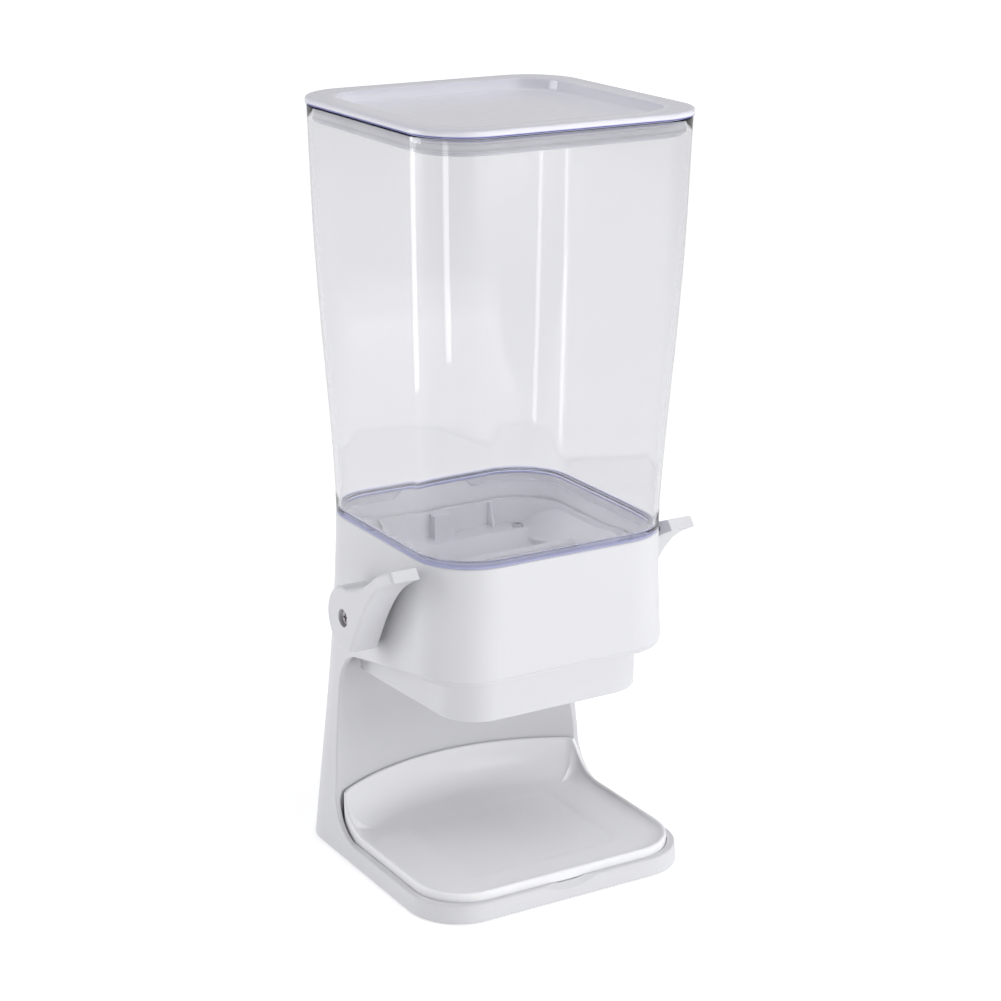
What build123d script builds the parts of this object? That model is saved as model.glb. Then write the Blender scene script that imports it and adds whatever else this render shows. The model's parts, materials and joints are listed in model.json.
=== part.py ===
from build123d import *
import os
from math import atan2, cos, radians, sin, sqrt

# Countertop cereal dispenser with a clear hopper and two finger levers.
# Millimetres. The origin is on the table under the hopper's axis, +Z is up and -Y is the front.

# ---- driving dimensions -------------------------------------------------------------------
STAND_TOP = 202.0            # top rim of the white housing
STAND_BOTTOM = 1.0           # lower edge of the skin; the feet reach z = 0
SKIN = 2.8                   # wall of the stand
# height, half width, front, back, front corner radius, rear corner radius of the stand
STAND_LEVELS = (
    (STAND_TOP, 75.2, -76.0, 75.6, 33.5, 33.0),
    (138.0, 77.2, -77.0, 77.2, 33.0, 32.0),
    (90.0, 80.0, -79.2, 78.6, 32.5, 30.0),
    (45.0, 83.2, -81.8, 80.3, 32.0, 28.0),
    (0.0, 86.4, -84.3, 82.0, 31.5, 26.0),
)
BASE_TOP = 11.4              # shoulder of the base, where the tray's seam lies
COLUMN_FRONT = 42.0          # front edge of the column's side walls
PANEL_DEPTH = 64.0           # the concave panel's front face on the middle line
PANEL_THICK = 2.5
HOUSING_FLOOR = 136.0
FLOOR_THICK = 2.5
HOUSING_BOTTOM = 138.0       # lower edge of the housing's front
COVE_Y, COVE_R = 14.0, 26.0  # where the base starts to sweep up into the column, and its radius
COLUMN_STRAIGHT = (70.0, 98.0)
SHOULDER = (24.0, 124.0)     # where the recess under the housing turns to its straight slope
SLOPE_END_Y = -39.0
SLOPE = (-74.0, 14.0)        # direction of the housing's sloped lower edge, in Y and Z
EDGE_R = 1.0                 # rounding of the stand's and the spout's outer edges
LEDGE_Z = 181.0              # underside of the ledge that carries the funnel's rim
NOTCH_R, NOTCH_Z = 57.0, 6.6             # thumb notch: a scoop that slopes up under the tray's edge

SPOUT_BOTTOM = 110.2
SPOUT_HALF_FRONT, SPOUT_HALF_BACK = 61.0, 67.8
SPOUT_FRONT, SPOUT_BACK = -66.6, 46.0
SPOUT_R_FRONT, SPOUT_R_BACK = 24.0, 10.0
SPOUT_WALL = 2.5
TAB_Z = 132.6                # the spout's screw tabs: underside, and (y, where the tab leaves the wall)
TABS = ((-8.0, 61.9), (24.0, 64.0))
TAB_SCREW_X, TAB_END, TAB_HALF = 70.0, 73.4, 4.5

AXLE_Z = 159.5               # axis of the levers and the gate, along X at y = 0
SHAFT_R = 4.0
SHAFT_END = 92.0
BUSH_R = 7.0
BUSH_FLANGE = (76.8, 79.4)
WASHER = (79.5, 80.7)
GATE_R = 40.0                # inside radius of the curved shutter
GATE_THICK = 2.0
GATE_FRONT, GATE_REAR = -46.0, 25.0      # degrees from straight down, towards +Y
ARM_X = 54.3                 # inner face of the shutter's side arms
ARM_THICK = 2.5
HUB_R, HUB_END = 7.0, 61.5
SPRING_X = (63.0, 69.6)
SPRING_R, SPRING_WIRE = 7.2, 1.3
SHAFT_PLAY = 0.06            # running clearance of the shaft in its bushes

THROAT_HALF = 51.0           # funnel mouth: half width along X
THROAT_FRONT, THROAT_BACK = -25.0, 14.0
THROAT_TOP = 139.0
THROAT_R = 39.3              # the mouth ends on this radius round the axle
SLOPE_TOP, SHELF_FRONT = 172.0, 54.0
SIDE_SLOPE_FOOT, SIDE_SLOPE_TOP = 168.0, 184.0
SHELF_UNDER = 169.6          # underside of the funnel's rear shelf
FUNNEL_HALF, FUNNEL_CORNER = 69.0, 30.0
FUNNEL_WALL = 2.2
FUNNEL_RIM, RIM_THICK, RIM_HALF = 187.0, 2.4, 72.0
FUNNEL_SCREWS = ((-50.0, 59.0), (50.0, 59.0))
RIDGE_TOP, RIDGE_HALF = 178.5, 8.0       # roof over the shaft inside the funnel
RIDGE_SPRING, RIDGE_FOOT = 161.0, 150.0
BOX_BOSS = (-7.5, 7.5, 61.0, 69.5, 170.5, 186.0)
RIB_X, RIB_THICK = 38.0, 2.0
RIB_PROFILE = ((69.5, 186.5), (66.5, 186.5), (62.0, 171.0), (69.5, 171.0))

LEVER_IN, LEVER_OUT = 81.0, 97.8         # the lever's inner and outer faces
LEVER_WALL = 2.6
LEVER_SOLID_Y = -46.0        # in front of this the finger tab is solid
LEVER_BOSS_R = 8.5
LEVER_SCREW_R = 5.2          # recess for the screw in the lever's outer face
LEVER_SCREW_SEAT = 93.6
HUB_CENTRE, LEVER_HUB_R = (0.5, 158.5), 19.0
LEVER_ROUND = 2.4            # rounding of the lever's outer edges
# upper and lower edges of the lever's wing in side view, from the hub to the tip and back
LEVER_UPPER = (
    (-2.8, 177.2), (-13, 180.2), (-22, 184.2), (-30, 189.6), (-38, 195.2), (-46, 199.3), (-53.2, 202.2),
)
LEVER_LOWER = (
    (-57.5, 196.9), (-48, 192), (-39, 186), (-31, 178), (-22.5, 167), (-15, 154.5), (-7.5, 141.3),
)

CONTAINER_TOP = 432.6
CONTAINER_WALL = 2.2
CONTAINER_BOTTOM = 203.2
SPIGOT_BOTTOM, SPIGOT_HALF = 197.6, 71.6
# height, half width, half depth and corner radius of the clear container
CONTAINER_LEVELS = (
    (CONTAINER_BOTTOM, 75.2, 75.9, 33.5),
    (222.0, 75.6, 76.2, 33.4),
    (250.0, 76.9, 77.2, 33.2),
    (285.0, 78.9, 79.0, 33.0),
    (320.0, 80.8, 80.8, 32.7),
    (365.0, 82.7, 82.7, 32.3),
    (CONTAINER_TOP, 84.4, 84.4, 32.0),
)
LID_BOTTOM, LID_TOP = 433.2, 436.8
LID_HALF, LID_CORNER = 85.0, 32.0
LID_PANEL_HALF, LID_PANEL_TOP = 70.0, 430.6
PLUG_BOTTOM, PLUG_HALF, PLUG_WALL = 423.5, 80.0, 2.0
LIP_HALF = 81.5

TRAY_HALF, TRAY_FRONT, TRAY_CORNER = 81.2, -80.3, 30.0
TRAY_BOTTOM, TRAY_RIM, TRAY_BACK_TOP = 10.5, 16.7, 36.0
TRAY_COVE_Y, TRAY_COVE_R = 12.0, 26.0    # where the rim starts to rise, and its radius
TRAY_WALL = 2.4
TRAY_FLOOR = 12.8
TRAY_SUNK = (54.0, -58.0, 26.0, 12.0, 0.6)       # sunk rectangle: half width, front, back, corner, depth

PLATE = (3.2, 5.4)           # base plate, lower and upper face
BASE_SCREWS = ((-36.0, -66.0), (36.0, -66.0), (-50.0, 38.0), (50.0, 38.0))
FEET = ((-56.0, -56.0), (56.0, -56.0), (-56.0, 60.0), (56.0, 60.0))
FOOT_R = 9.0
COVER_HALF, COVER_Z = 46.0, (14.0, 128.0)
COVER_CORNER, COVER_SCREW_SINK = 8.0, 1.5
COVER_SCREWS = ((-36.0, 28.0), (36.0, 28.0), (-36.0, 114.0), (36.0, 114.0))
SEAM = 0.3                   # gap between pieces that come apart

BIG = 400.0


# ---- helpers --------------------------------------------------------------------------------
def outline(half, front, back, r_front, r_rear, z):
    """A rounded rectangle in plan, with its own corner radius at the front and at the rear."""
    short = 1 - 1 / sqrt(2)
    edges, spots = [], []
    corners = ((-1, front, 1, r_front), (1, front, 1, r_front), (1, back, -1, r_rear), (-1, back, -1, r_rear))
    for sx, y, sy, r in corners:
        on_side, on_end = (sx * half, y + sy * r), (sx * (half - r), y)
        middle = (sx * (half - r * short), y + sy * r * short)
        first, last = (on_side, on_end) if sx * sy < 0 else (on_end, on_side)
        spots.append((first, middle, last))
    for i, (first, middle, last) in enumerate(spots):
        edges.append(ThreePointArc(first, middle, last))
        edges.append(Line(last, spots[(i + 1) % 4][0]))
    return Pos(0, 0, z) * make_face(edges)


def square(half, r, z, depth=None):
    depth = half if depth is None else depth
    return outline(half, -depth, depth, r, r, z)


def block(half, r, z0, z1, depth=None):
    """An upright prism on a rounded square."""
    return extrude(square(half, r, z0, depth), z1 - z0)


def slab(x0, x1, y0, y1, z0, z1):
    return Pos((x0 + x1) / 2, (y0 + y1) / 2, (z0 + z1) / 2) * Box(x1 - x0, y1 - y0, z1 - z0)


def side_prism(edges_or_points, x0, x1):
    """A side-view shape, given in Y and Z, run along X."""
    shape = edges_or_points
    if isinstance(shape[0], tuple):
        shape = [Polyline(*shape, close=True)]
    return Pos(x0, 0, 0) * extrude(Plane.YZ * make_face(shape), x1 - x0)


def front_prism(points, y0, y1):
    """A front-view shape, given in X and Z, run along Y."""
    face = Plane.XZ * make_face(Polyline(*points, close=True))
    return Pos(0, y1, 0) * extrude(face, y1 - y0)


def rod_x(radius, x0, x1, y=0.0, z=AXLE_Z):
    return Pos((x0 + x1) / 2, y, z) * Rot(0, 90, 0) * Cylinder(radius, x1 - x0)


def rod_y(radius, y0, y1, x, z):
    return Pos(x, (y0 + y1) / 2, z) * Rot(90, 0, 0) * Cylinder(radius, y1 - y0)


def post(radius, x, y, z0, z1):
    return Pos(x, y, (z0 + z1) / 2) * Cylinder(radius, z1 - z0)


def screw(radius, length, head_r, head_h, cross=1.0):
    """A pan-head screw, its head up and its seat at z = 0, with a cross recess."""
    body = Pos(0, 0, -length / 2 + 0.5) * Cylinder(radius, length + 1)
    head = Pos(0, 0, head_h / 2) * Cylinder(head_r, head_h)
    head = fillet(head.edges().group_by(Axis.Z)[-1], head_h * 0.4)
    recess = Box(head_r * 1.2, cross, head_h) + Box(cross, head_r * 1.2, head_h)
    return body + head - Pos(0, 0, head_h) * recess


HEAD_DOWN = Rot(180, 0, 0)
HEAD_BACK = Rot(-90, 0, 0)


def on_arc(radius, degrees):
    """A point round the axle, its angle measured from straight down towards +Y."""
    return (radius * sin(radians(degrees)), AXLE_Z - radius * cos(radians(degrees)))


def sector(r0, r1, a0, a1, x0, x1):
    """A ring sector round the axle, between two radii, two angles and two stations on X."""
    middle = (a0 + a1) / 2
    return side_prism([
        Line(on_arc(r0, a0), on_arc(r1, a0)),
        ThreePointArc(on_arc(r1, a0), on_arc(r1, middle), on_arc(r1, a1)),
        Line(on_arc(r1, a1), on_arc(r0, a1)),
        ThreePointArc(on_arc(r0, a1), on_arc(r0, middle), on_arc(r0, a0)),
    ], x0, x1)


def both_sides(make):
    """The two mirror twins of a piece that make(side) builds."""
    return make(-1) + make(1)


def envelope(inset, z0, z1):
    """The stand's outer form, drawn in by inset, between two heights."""
    levels = [outline(hx - inset, yf + inset, yb - inset, rf - inset, rr - inset, z)
              for z, hx, yf, yb, rf, rr in STAND_LEVELS]
    return loft(levels) & slab(-BIG, BIG, -BIG, BIG, z0, z1)


def rear_wall(z):
    """Where the stand's rear face lies on the middle line, at a height."""
    for upper, lower in zip(STAND_LEVELS, STAND_LEVELS[1:]):
        if z >= lower[0]:
            share = (z - lower[0]) / (upper[0] - lower[0])
            return lower[3] + share * (upper[3] - lower[3])


def edges_on(shape, *solids):
    """The edges of a shape that lie on the surface of every one of the solids."""
    def on(edge, solid):
        spots = [Vertex(*(edge @ share)) for share in (0.1, 0.5, 0.9)]
        return all(min(face.distance_to(spot) for face in solid.faces()) < 0.02 for spot in spots)
    return [edge for edge in shape.edges() if all(on(edge, solid) for solid in solids)]


def panel_curve(offset, z0, z1):
    """Everything in front of the column's concave panel, moved back by offset."""
    sag = PANEL_DEPTH - COLUMN_FRONT
    radius = ((STAND_LEVELS[1][1]) ** 2 + sag ** 2) / (2 * sag)
    return Pos(0, PANEL_DEPTH - radius, (z0 + z1) / 2) * Cylinder(radius + offset, z1 - z0)


parts = {}

# ---- the stand -------------------------------------------------------------------------------
cove_middle = (COVE_Y + COVE_R * cos(radians(45)), BASE_TOP + COVE_R * (1 - sin(radians(45))))
cove_end = (COVE_Y + COVE_R, BASE_TOP + COVE_R)
slope_angle = atan2(SLOPE[1], -SLOPE[0])
slope_end = (SLOPE_END_Y, SHOULDER[1] + (SHOULDER[0] - SLOPE_END_Y) * SLOPE[1] / -SLOPE[0])
lip_r = (HOUSING_BOTTOM - slope_end[1]) / (1 - cos(slope_angle))
lip_middle = (slope_end[0] - lip_r * (sin(slope_angle) - sin(slope_angle / 2)),
              HOUSING_BOTTOM - lip_r * (1 - cos(slope_angle / 2)))
lip_end = (slope_end[0] - lip_r * sin(slope_angle), HOUSING_BOTTOM)
column_low, column_high = [(COLUMN_FRONT, z) for z in COLUMN_STRAIGHT]
mouth = side_prism([                     # every joint is tangent, so that its edges can be rounded
    Line((-95, BASE_TOP), (COVE_Y, BASE_TOP)),
    ThreePointArc((COVE_Y, BASE_TOP), cove_middle, cove_end),
    Spline(cove_end, column_low, tangents=((0, 1), (0, 1))),
    Line(column_low, column_high),
    Spline(column_high, SHOULDER, tangents=((0, 1), SLOPE)),
    Line(SHOULDER, slope_end),
    ThreePointArc(slope_end, lip_middle, lip_end),
    Line(lip_end, (-95, HOUSING_BOTTOM)),
    Line((-95, HOUSING_BOTTOM), (-95, BASE_TOP)),
], -100, 100)
spout_plan = make_face(Polyline((-SPOUT_HALF_FRONT, SPOUT_FRONT), (SPOUT_HALF_FRONT, SPOUT_FRONT),
                                (SPOUT_HALF_BACK, SPOUT_BACK), (-SPOUT_HALF_BACK, SPOUT_BACK), close=True))
spout_plan = fillet(spout_plan.vertices().group_by(Axis.Y)[0], SPOUT_R_FRONT)
spout_plan = fillet(spout_plan.vertices().group_by(Axis.Y)[-1], SPOUT_R_BACK)
floor_hole = Pos(0, 0, HOUSING_FLOOR - 1) * extrude(offset(spout_plan, amount=-SPOUT_WALL - 1.0), 6)

form, hollow = envelope(0, STAND_BOTTOM, STAND_TOP), envelope(SKIN, 0, STAND_TOP)
skin = form - hollow - mouth
skin = fillet(edges_on(skin, form, mouth), EDGE_R)
skin = fillet([e for e in skin.edges().group_by(Axis.Z)[-1] if e in edges_on(skin, form)], EDGE_R)
panel = panel_curve(PANEL_THICK, 6, HOUSING_FLOOR + 1) - panel_curve(0, 5, HOUSING_FLOOR + 2)
panel = (panel & envelope(SKIN / 2, 6, HOUSING_FLOOR + 1) & slab(-BIG, BIG, 20, BIG, 0, BIG)) - mouth
deck = envelope(1.0, 8.0, BASE_TOP) & panel_curve(1.0, 0, 20)
deck -= block(TRAY_HALF + 0.4, TRAY_CORNER, TRAY_BOTTOM - SEAM, 40, depth=-TRAY_FRONT + 0.4)
floor = envelope(1.0, HOUSING_FLOOR, HOUSING_FLOOR + FLOOR_THICK) - floor_hole
ledge = envelope(1.0, LEDGE_Z, FUNNEL_RIM - RIM_THICK) - block(FUNNEL_HALF + FUNNEL_WALL + SEAM, 32, 170, 200)
window = slab(-COVER_HALF, COVER_HALF, 66, 100, *COVER_Z)
window = fillet(window.edges().filter_by(Axis.Y), COVER_CORNER)
stand = skin - window + panel + deck + floor + ledge
stand += both_sides(lambda s: rod_x(12.0, *sorted((s * 70.5, s * 74.5))))
stand -= both_sides(lambda s: rod_x(BUSH_R, *sorted((s * 60.0, s * 90.0))))
for x, z in COVER_SCREWS:
    stand += (rod_y(4.5, 55, 90, x, z) & hollow) - panel_curve(0, 0, 140)
    stand -= rod_y(1.7, 66, 90, x, z)
for x, y in BASE_SCREWS:
    stand += post(4.0, x, y, PLATE[1], 9.0) - post(1.7, x, y, 0, 9.0)
for x, y in FUNNEL_SCREWS:
    stand += post(4.0, x, y + 0.5, HOUSING_FLOOR, SHELF_UNDER) - post(1.5, x, y, 150, 180)
for s in (-1, 1):
    for y, _ in TABS:
        stand += post(3.6, s * TAB_SCREW_X, y, HOUSING_FLOOR, 146)
        stand -= post(1.4, s * TAB_SCREW_X, y, 130, 144)
stand += slab(-24, 24, -82.5, -77.0, PLATE[1], TRAY_BOTTOM - SEAM)
scoop = Pos(0, 0, NOTCH_R) * Rot(90, 0, 0) * Cylinder(NOTCH_R, 16)
stand -= Pos(0, STAND_LEVELS[-1][2], NOTCH_Z) * Rot(45, 0, 0) * scoop
parts["stand_shell"] = stand

opening = slab(-COVER_HALF + SEAM, COVER_HALF - SEAM, 66, 100, COVER_Z[0] + SEAM, COVER_Z[1] - SEAM)
cover = (form - hollow) & fillet(opening.edges().filter_by(Axis.Y), COVER_CORNER)
cover_screws = None
for x, z in COVER_SCREWS:
    seat = rear_wall(z) - COVER_SCREW_SINK
    cover -= rod_y(3.6, seat, 95, x, z) + rod_y(1.8, 60, 95, x, z)
    piece = Pos(x, seat, z) * HEAD_BACK * screw(1.6, 9.0, 3.2, 1.3)
    cover_screws = piece if cover_screws is None else cover_screws + piece
parts["rear_cover"] = cover
parts["cover_screws"] = cover_screws

plate = envelope(SKIN + SEAM, *PLATE)
base_screws, feet = None, None
for x, y in BASE_SCREWS:
    plate -= post(1.8, x, y, 0, 9)
    piece = Pos(x, y, PLATE[0]) * HEAD_DOWN * screw(1.6, 4.6, 3.4, 1.4)
    base_screws = piece if base_screws is None else base_screws + piece
for x, y in FEET:
    pad = post(FOOT_R, x, y, 0, PLATE[0])
    pad = fillet(pad.edges().group_by(Axis.Z)[0], 0.8)
    feet = pad if feet is None else feet + pad
parts["base_plate"] = plate
parts["base_screws"] = base_screws
parts["feet"] = feet

# ---- spout and funnel ------------------------------------------------------------------------
spout = Pos(0, 0, SPOUT_BOTTOM) * extrude(spout_plan, HOUSING_FLOOR - SPOUT_BOTTOM)
spout = fillet(spout.edges().group_by(Axis.Z)[0], EDGE_R)
spout -= Pos(0, 0, SPOUT_BOTTOM - 1) * extrude(offset(spout_plan, amount=-SPOUT_WALL), 40)
spout_screws = None
for s in (-1, 1):
    for y, wall_x in TABS:
        spout += slab(*sorted((s * wall_x, s * TAB_END)), y - TAB_HALF, y + TAB_HALF, TAB_Z, HOUSING_FLOOR)
        spout -= post(1.6, s * TAB_SCREW_X, y, 130, 140)
        piece = Pos(s * TAB_SCREW_X, y, TAB_Z) * HEAD_DOWN * screw(1.35, 9.0, 2.7, 1.4)
        spout_screws = piece if spout_screws is None else spout_screws + piece
parts["spout"] = spout
parts["spout_screws"] = spout_screws

front_slope = (SLOPE_TOP - THROAT_TOP) / (FUNNEL_HALF + THROAT_FRONT)


def hopper(wall, half, corner, top):
    """The funnel's form, grown outwards by a wall."""
    drop = wall * 0.5        # how far the grown slopes' feet come down
    grow = SLOPE_TOP - SHELF_UNDER if wall else 0.0
    side = side_prism([
        (-82, top), (-82, THROAT_TOP - drop + (82 + THROAT_FRONT - wall) * front_slope),
        (THROAT_FRONT - wall, THROAT_TOP - drop), (THROAT_FRONT - wall, 110), (THROAT_BACK + wall, 110),
        (THROAT_BACK + wall, THROAT_TOP - drop), (SHELF_FRONT + wall * 0.4, SLOPE_TOP - grow),
        (82, SLOPE_TOP - grow), (82, top)], -90, 90)
    rise = (SIDE_SLOPE_TOP - SIDE_SLOPE_FOOT) / (FUNNEL_HALF - THROAT_HALF)
    foot, edge = SIDE_SLOPE_FOOT - drop, SIDE_SLOPE_FOOT - drop + (82 - THROAT_HALF - wall) * rise
    front = front_prism([
        (-82, top), (-82, edge), (-THROAT_HALF - wall, foot), (-THROAT_HALF - wall, 110),
        (THROAT_HALF + wall, 110), (THROAT_HALF + wall, foot), (82, edge), (82, top)], -90, 90)
    return side & front & block(half, corner, 100, top)


funnel = hopper(FUNNEL_WALL, FUNNEL_HALF + FUNNEL_WALL, FUNNEL_CORNER + FUNNEL_WALL, FUNNEL_RIM)
funnel += block(RIM_HALF, FUNNEL_CORNER + 1.5, FUNNEL_RIM - RIM_THICK, FUNNEL_RIM)
funnel -= hopper(0.0, FUNNEL_HALF, FUNNEL_CORNER, FUNNEL_RIM + 1)
funnel -= slab(-80, 80, -60, 60, 100, THROAT_TOP) - rod_x(THROAT_R, -90, 90)
roof_line = (
    (-RIDGE_HALF, RIDGE_FOOT), (-RIDGE_HALF, RIDGE_SPRING), (-2.6, RIDGE_TOP - 2), (0, RIDGE_TOP),
    (2.6, RIDGE_TOP - 2), (RIDGE_HALF, RIDGE_SPRING), (RIDGE_HALF, RIDGE_FOOT),
)
roof = side_prism(list(roof_line), -THROAT_HALF - 1, THROAT_HALF + 1)
under = RIDGE_HALF - 2
roof -= side_prism([(-under, RIDGE_FOOT - 1), (-under, RIDGE_SPRING - 0.5), (-1.2, RIDGE_TOP - 5),
                    (1.2, RIDGE_TOP - 5), (under, RIDGE_SPRING - 0.5), (under, RIDGE_FOOT - 1)],
                   -THROAT_HALF - 2, THROAT_HALF + 2)
funnel += roof + slab(*BOX_BOSS)
for s in (-1, 1):
    funnel += side_prism(list(RIB_PROFILE), s * RIB_X - RIB_THICK / 2, s * RIB_X + RIB_THICK / 2)
    funnel += sector(33, 41, -54.5, -50, *sorted((s * (THROAT_HALF + 1.2), s * 57.0)))
for x, y in FUNNEL_SCREWS:
    funnel -= post(1.8, x, y, 160, 180)
funnel -= rod_x(SHAFT_R + 0.8, -80, 80)
parts["funnel"] = funnel
parts["funnel_screws"] = Compound(children=[
    Pos(x, y, SLOPE_TOP) * screw(1.4, 10.0, 3.4, 1.6) for x, y in FUNNEL_SCREWS])
parts["gate_bumpers"] = both_sides(
    lambda s: sector(34, 40.5, -49.9, -46.5, *sorted((s * ARM_X, s * (ARM_X + ARM_THICK)))))

# ---- gate, shaft and levers ------------------------------------------------------------------
gate = sector(GATE_R, GATE_R + GATE_THICK, GATE_FRONT, GATE_REAR, -ARM_X - ARM_THICK, ARM_X + ARM_THICK)
for s in (-1, 1):
    arm = sector(3.0, GATE_R + 1.0, GATE_FRONT, GATE_REAR, *sorted((s * ARM_X, s * (ARM_X + ARM_THICK))))
    gate += arm + rod_x(HUB_R, *sorted((s * ARM_X, s * HUB_END)))
gate -= rod_x(SHAFT_R, -90, 90)
parts["gate_shutter"] = gate

shaft = rod_x(SHAFT_R, -SHAFT_END, SHAFT_END)
shaft -= both_sides(lambda s: rod_x(1.7, *sorted((s * 78.0, s * 93.0))))
parts["drive_shaft"] = shaft

hub_arc = ThreePointArc(LEVER_LOWER[-1], (HUB_CENTRE[0] + LEVER_HUB_R, HUB_CENTRE[1]), LEVER_UPPER[0])
lever_tip = Line(LEVER_UPPER[-1], LEVER_LOWER[0])
lever_face = make_face([Spline(*LEVER_UPPER), lever_tip, Spline(*LEVER_LOWER), hub_arc])
core_face = make_face([Polyline(*LEVER_UPPER), lever_tip, Polyline(*LEVER_LOWER), hub_arc])
lever = Pos(LEVER_IN, 0, 0) * extrude(Plane.YZ * lever_face, LEVER_OUT - LEVER_IN)
lever = fillet(lever.edges().group_by(Axis.X)[-1], LEVER_ROUND)
pocket = offset(core_face, amount=-LEVER_WALL)
lever_hollow = Pos(LEVER_IN - 1, 0, 0) * extrude(Plane.YZ * pocket, LEVER_OUT - LEVER_IN - LEVER_WALL + 1)
lever -= lever_hollow - slab(0, 110, -80, LEVER_SOLID_Y, 100, 220)
lever += rod_x(LEVER_BOSS_R, LEVER_IN, LEVER_OUT - 1.3)
lever -= rod_x(SHAFT_R, 70, SHAFT_END + 0.1)
lever -= rod_x(LEVER_SCREW_R, LEVER_SCREW_SEAT, 110)
lever -= rod_x(2.0, 80, 110)
parts["lever_right"] = lever
parts["lever_left"] = mirror(lever, Plane.YZ)
lever_screw = Pos(LEVER_SCREW_SEAT, 0, AXLE_Z) * Rot(0, 90, 0) * screw(1.7, 13.0, 4.4, 2.6, cross=1.3)
parts["lever_screws"] = lever_screw + mirror(lever_screw, Plane.YZ)
washer = rod_x(9.0, *WASHER) - rod_x(SHAFT_R, 70, 90)
parts["lever_washers"] = washer + mirror(washer, Plane.YZ)

bush = rod_x(BUSH_R, 70.4, 78.0) + rod_x(10.5, *BUSH_FLANGE) - rod_x(SHAFT_R + SHAFT_PLAY, 60, 90)
parts["bush_right"] = bush
parts["bush_left"] = mirror(bush, Plane.YZ)

coil_length = SPRING_X[1] - SPRING_X[0]
coil_path = Helix(pitch=coil_length / 3.5, height=coil_length, radius=SPRING_R)
coil_start = Plane(coil_path @ 0, z_dir=coil_path % 0) * Circle(SPRING_WIRE / 2)
coil = sweep(coil_start, path=coil_path, is_frenet=True)
coil = Pos(SPRING_X[0], 0, AXLE_Z) * Rot(0, 90, 0) * coil
parts["spring_right"] = coil
parts["spring_left"] = mirror(coil, Plane.YZ)

# ---- container -------------------------------------------------------------------------------
def container_form(inset):
    return loft([square(half - inset, r - inset, z, depth - inset) for z, half, depth, r in CONTAINER_LEVELS])


container = container_form(0) + block(SPIGOT_HALF, 30.0, SPIGOT_BOTTOM, CONTAINER_BOTTOM + 1)
container -= container_form(CONTAINER_WALL) & slab(-BIG, BIG, -BIG, BIG, CONTAINER_BOTTOM + 2.2, BIG * 2)
container -= block(SPIGOT_HALF - 2.0, 28.0, 190, 212)
container -= slab(-22, 22, 60, 75, 190, CONTAINER_BOTTOM - 0.8)
parts["container"] = container
rim_seal = block(75.0, 33.0, STAND_TOP, STAND_TOP + 0.9) - block(SPIGOT_HALF + 0.8, 30.6, 190, 210)
parts["container_seal"] = rim_seal

lid = block(LID_HALF, LID_CORNER, LID_BOTTOM, LID_TOP)
lid = fillet(lid.edges().group_by(Axis.Z)[-1], 1.4)
lid += block(LID_PANEL_HALF + 3, 25.0, LID_PANEL_TOP - 2.4, LID_BOTTOM + 0.5)
lid -= block(LID_PANEL_HALF, 22.0, LID_PANEL_TOP, 450)
parts["lid"] = lid
plug_top = LID_PANEL_TOP - 2.4
plug = block(PLUG_HALF, 28.0, PLUG_BOTTOM, LID_BOTTOM)
plug -= block(PLUG_HALF - PLUG_WALL, 26.0, PLUG_BOTTOM - 1, plug_top - 1.8)
plug -= block(PLUG_HALF - PLUG_WALL, 26.0, plug_top, LID_BOTTOM + 1)
parts["lid_plug"] = plug
gasket = block(PLUG_HALF + 0.7, 28.7, 425.0, 431.0)
gasket += block(LIP_HALF, 29.5, 425.0, 426.2) + block(LIP_HALF, 29.5, 429.6, 430.8)
parts["lid_gasket"] = gasket - block(PLUG_HALF, 28.0, 420, 440)

# ---- tray ------------------------------------------------------------------------------------
def tray_plan(inset, z0, z1):
    plan = outline(TRAY_HALF - inset, TRAY_FRONT + inset, 70, TRAY_CORNER - inset, 1.0, z0)
    return extrude(plan, z1 - z0) & panel_curve(-0.6 - inset, z0, z1)


cove_top = TRAY_RIM + TRAY_COVE_R
above_rim = side_prism([
    Line((-100, TRAY_RIM), (TRAY_COVE_Y, TRAY_RIM)),
    ThreePointArc((TRAY_COVE_Y, TRAY_RIM),
                  (TRAY_COVE_Y + TRAY_COVE_R * cos(radians(45)), cove_top - TRAY_COVE_R * sin(radians(45))),
                  (TRAY_COVE_Y + TRAY_COVE_R, cove_top)),
    Line((TRAY_COVE_Y + TRAY_COVE_R, cove_top), (-100, cove_top)),
    Line((-100, cove_top), (-100, TRAY_RIM)),
], -100, 100)
dish = tray_plan(TRAY_WALL, TRAY_FLOOR, 60)
dish = fillet(dish.edges().filter_by(Axis.Z).group_by(Axis.Y)[-1], 8)
dish = fillet(dish.edges().group_by(Axis.Z)[0], 7)
tray = tray_plan(0, TRAY_BOTTOM, TRAY_BACK_TOP) - above_rim - dish
sunk_half, sunk_front, sunk_back, sunk_corner, sunk_by = TRAY_SUNK
tray -= extrude(outline(sunk_half, sunk_front, sunk_back, sunk_corner, sunk_corner, TRAY_FLOOR - sunk_by), 5)
parts["tray"] = tray

os.makedirs("parts", exist_ok=True)
for name, shape in parts.items():
    export_step(shape, f"parts/{name}.step")
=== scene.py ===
import json
from functools import lru_cache
from math import acos, atan2, cos, hypot, pi, radians, sin, sqrt, tan

import bpy
from mathutils import Matrix, Vector


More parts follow.
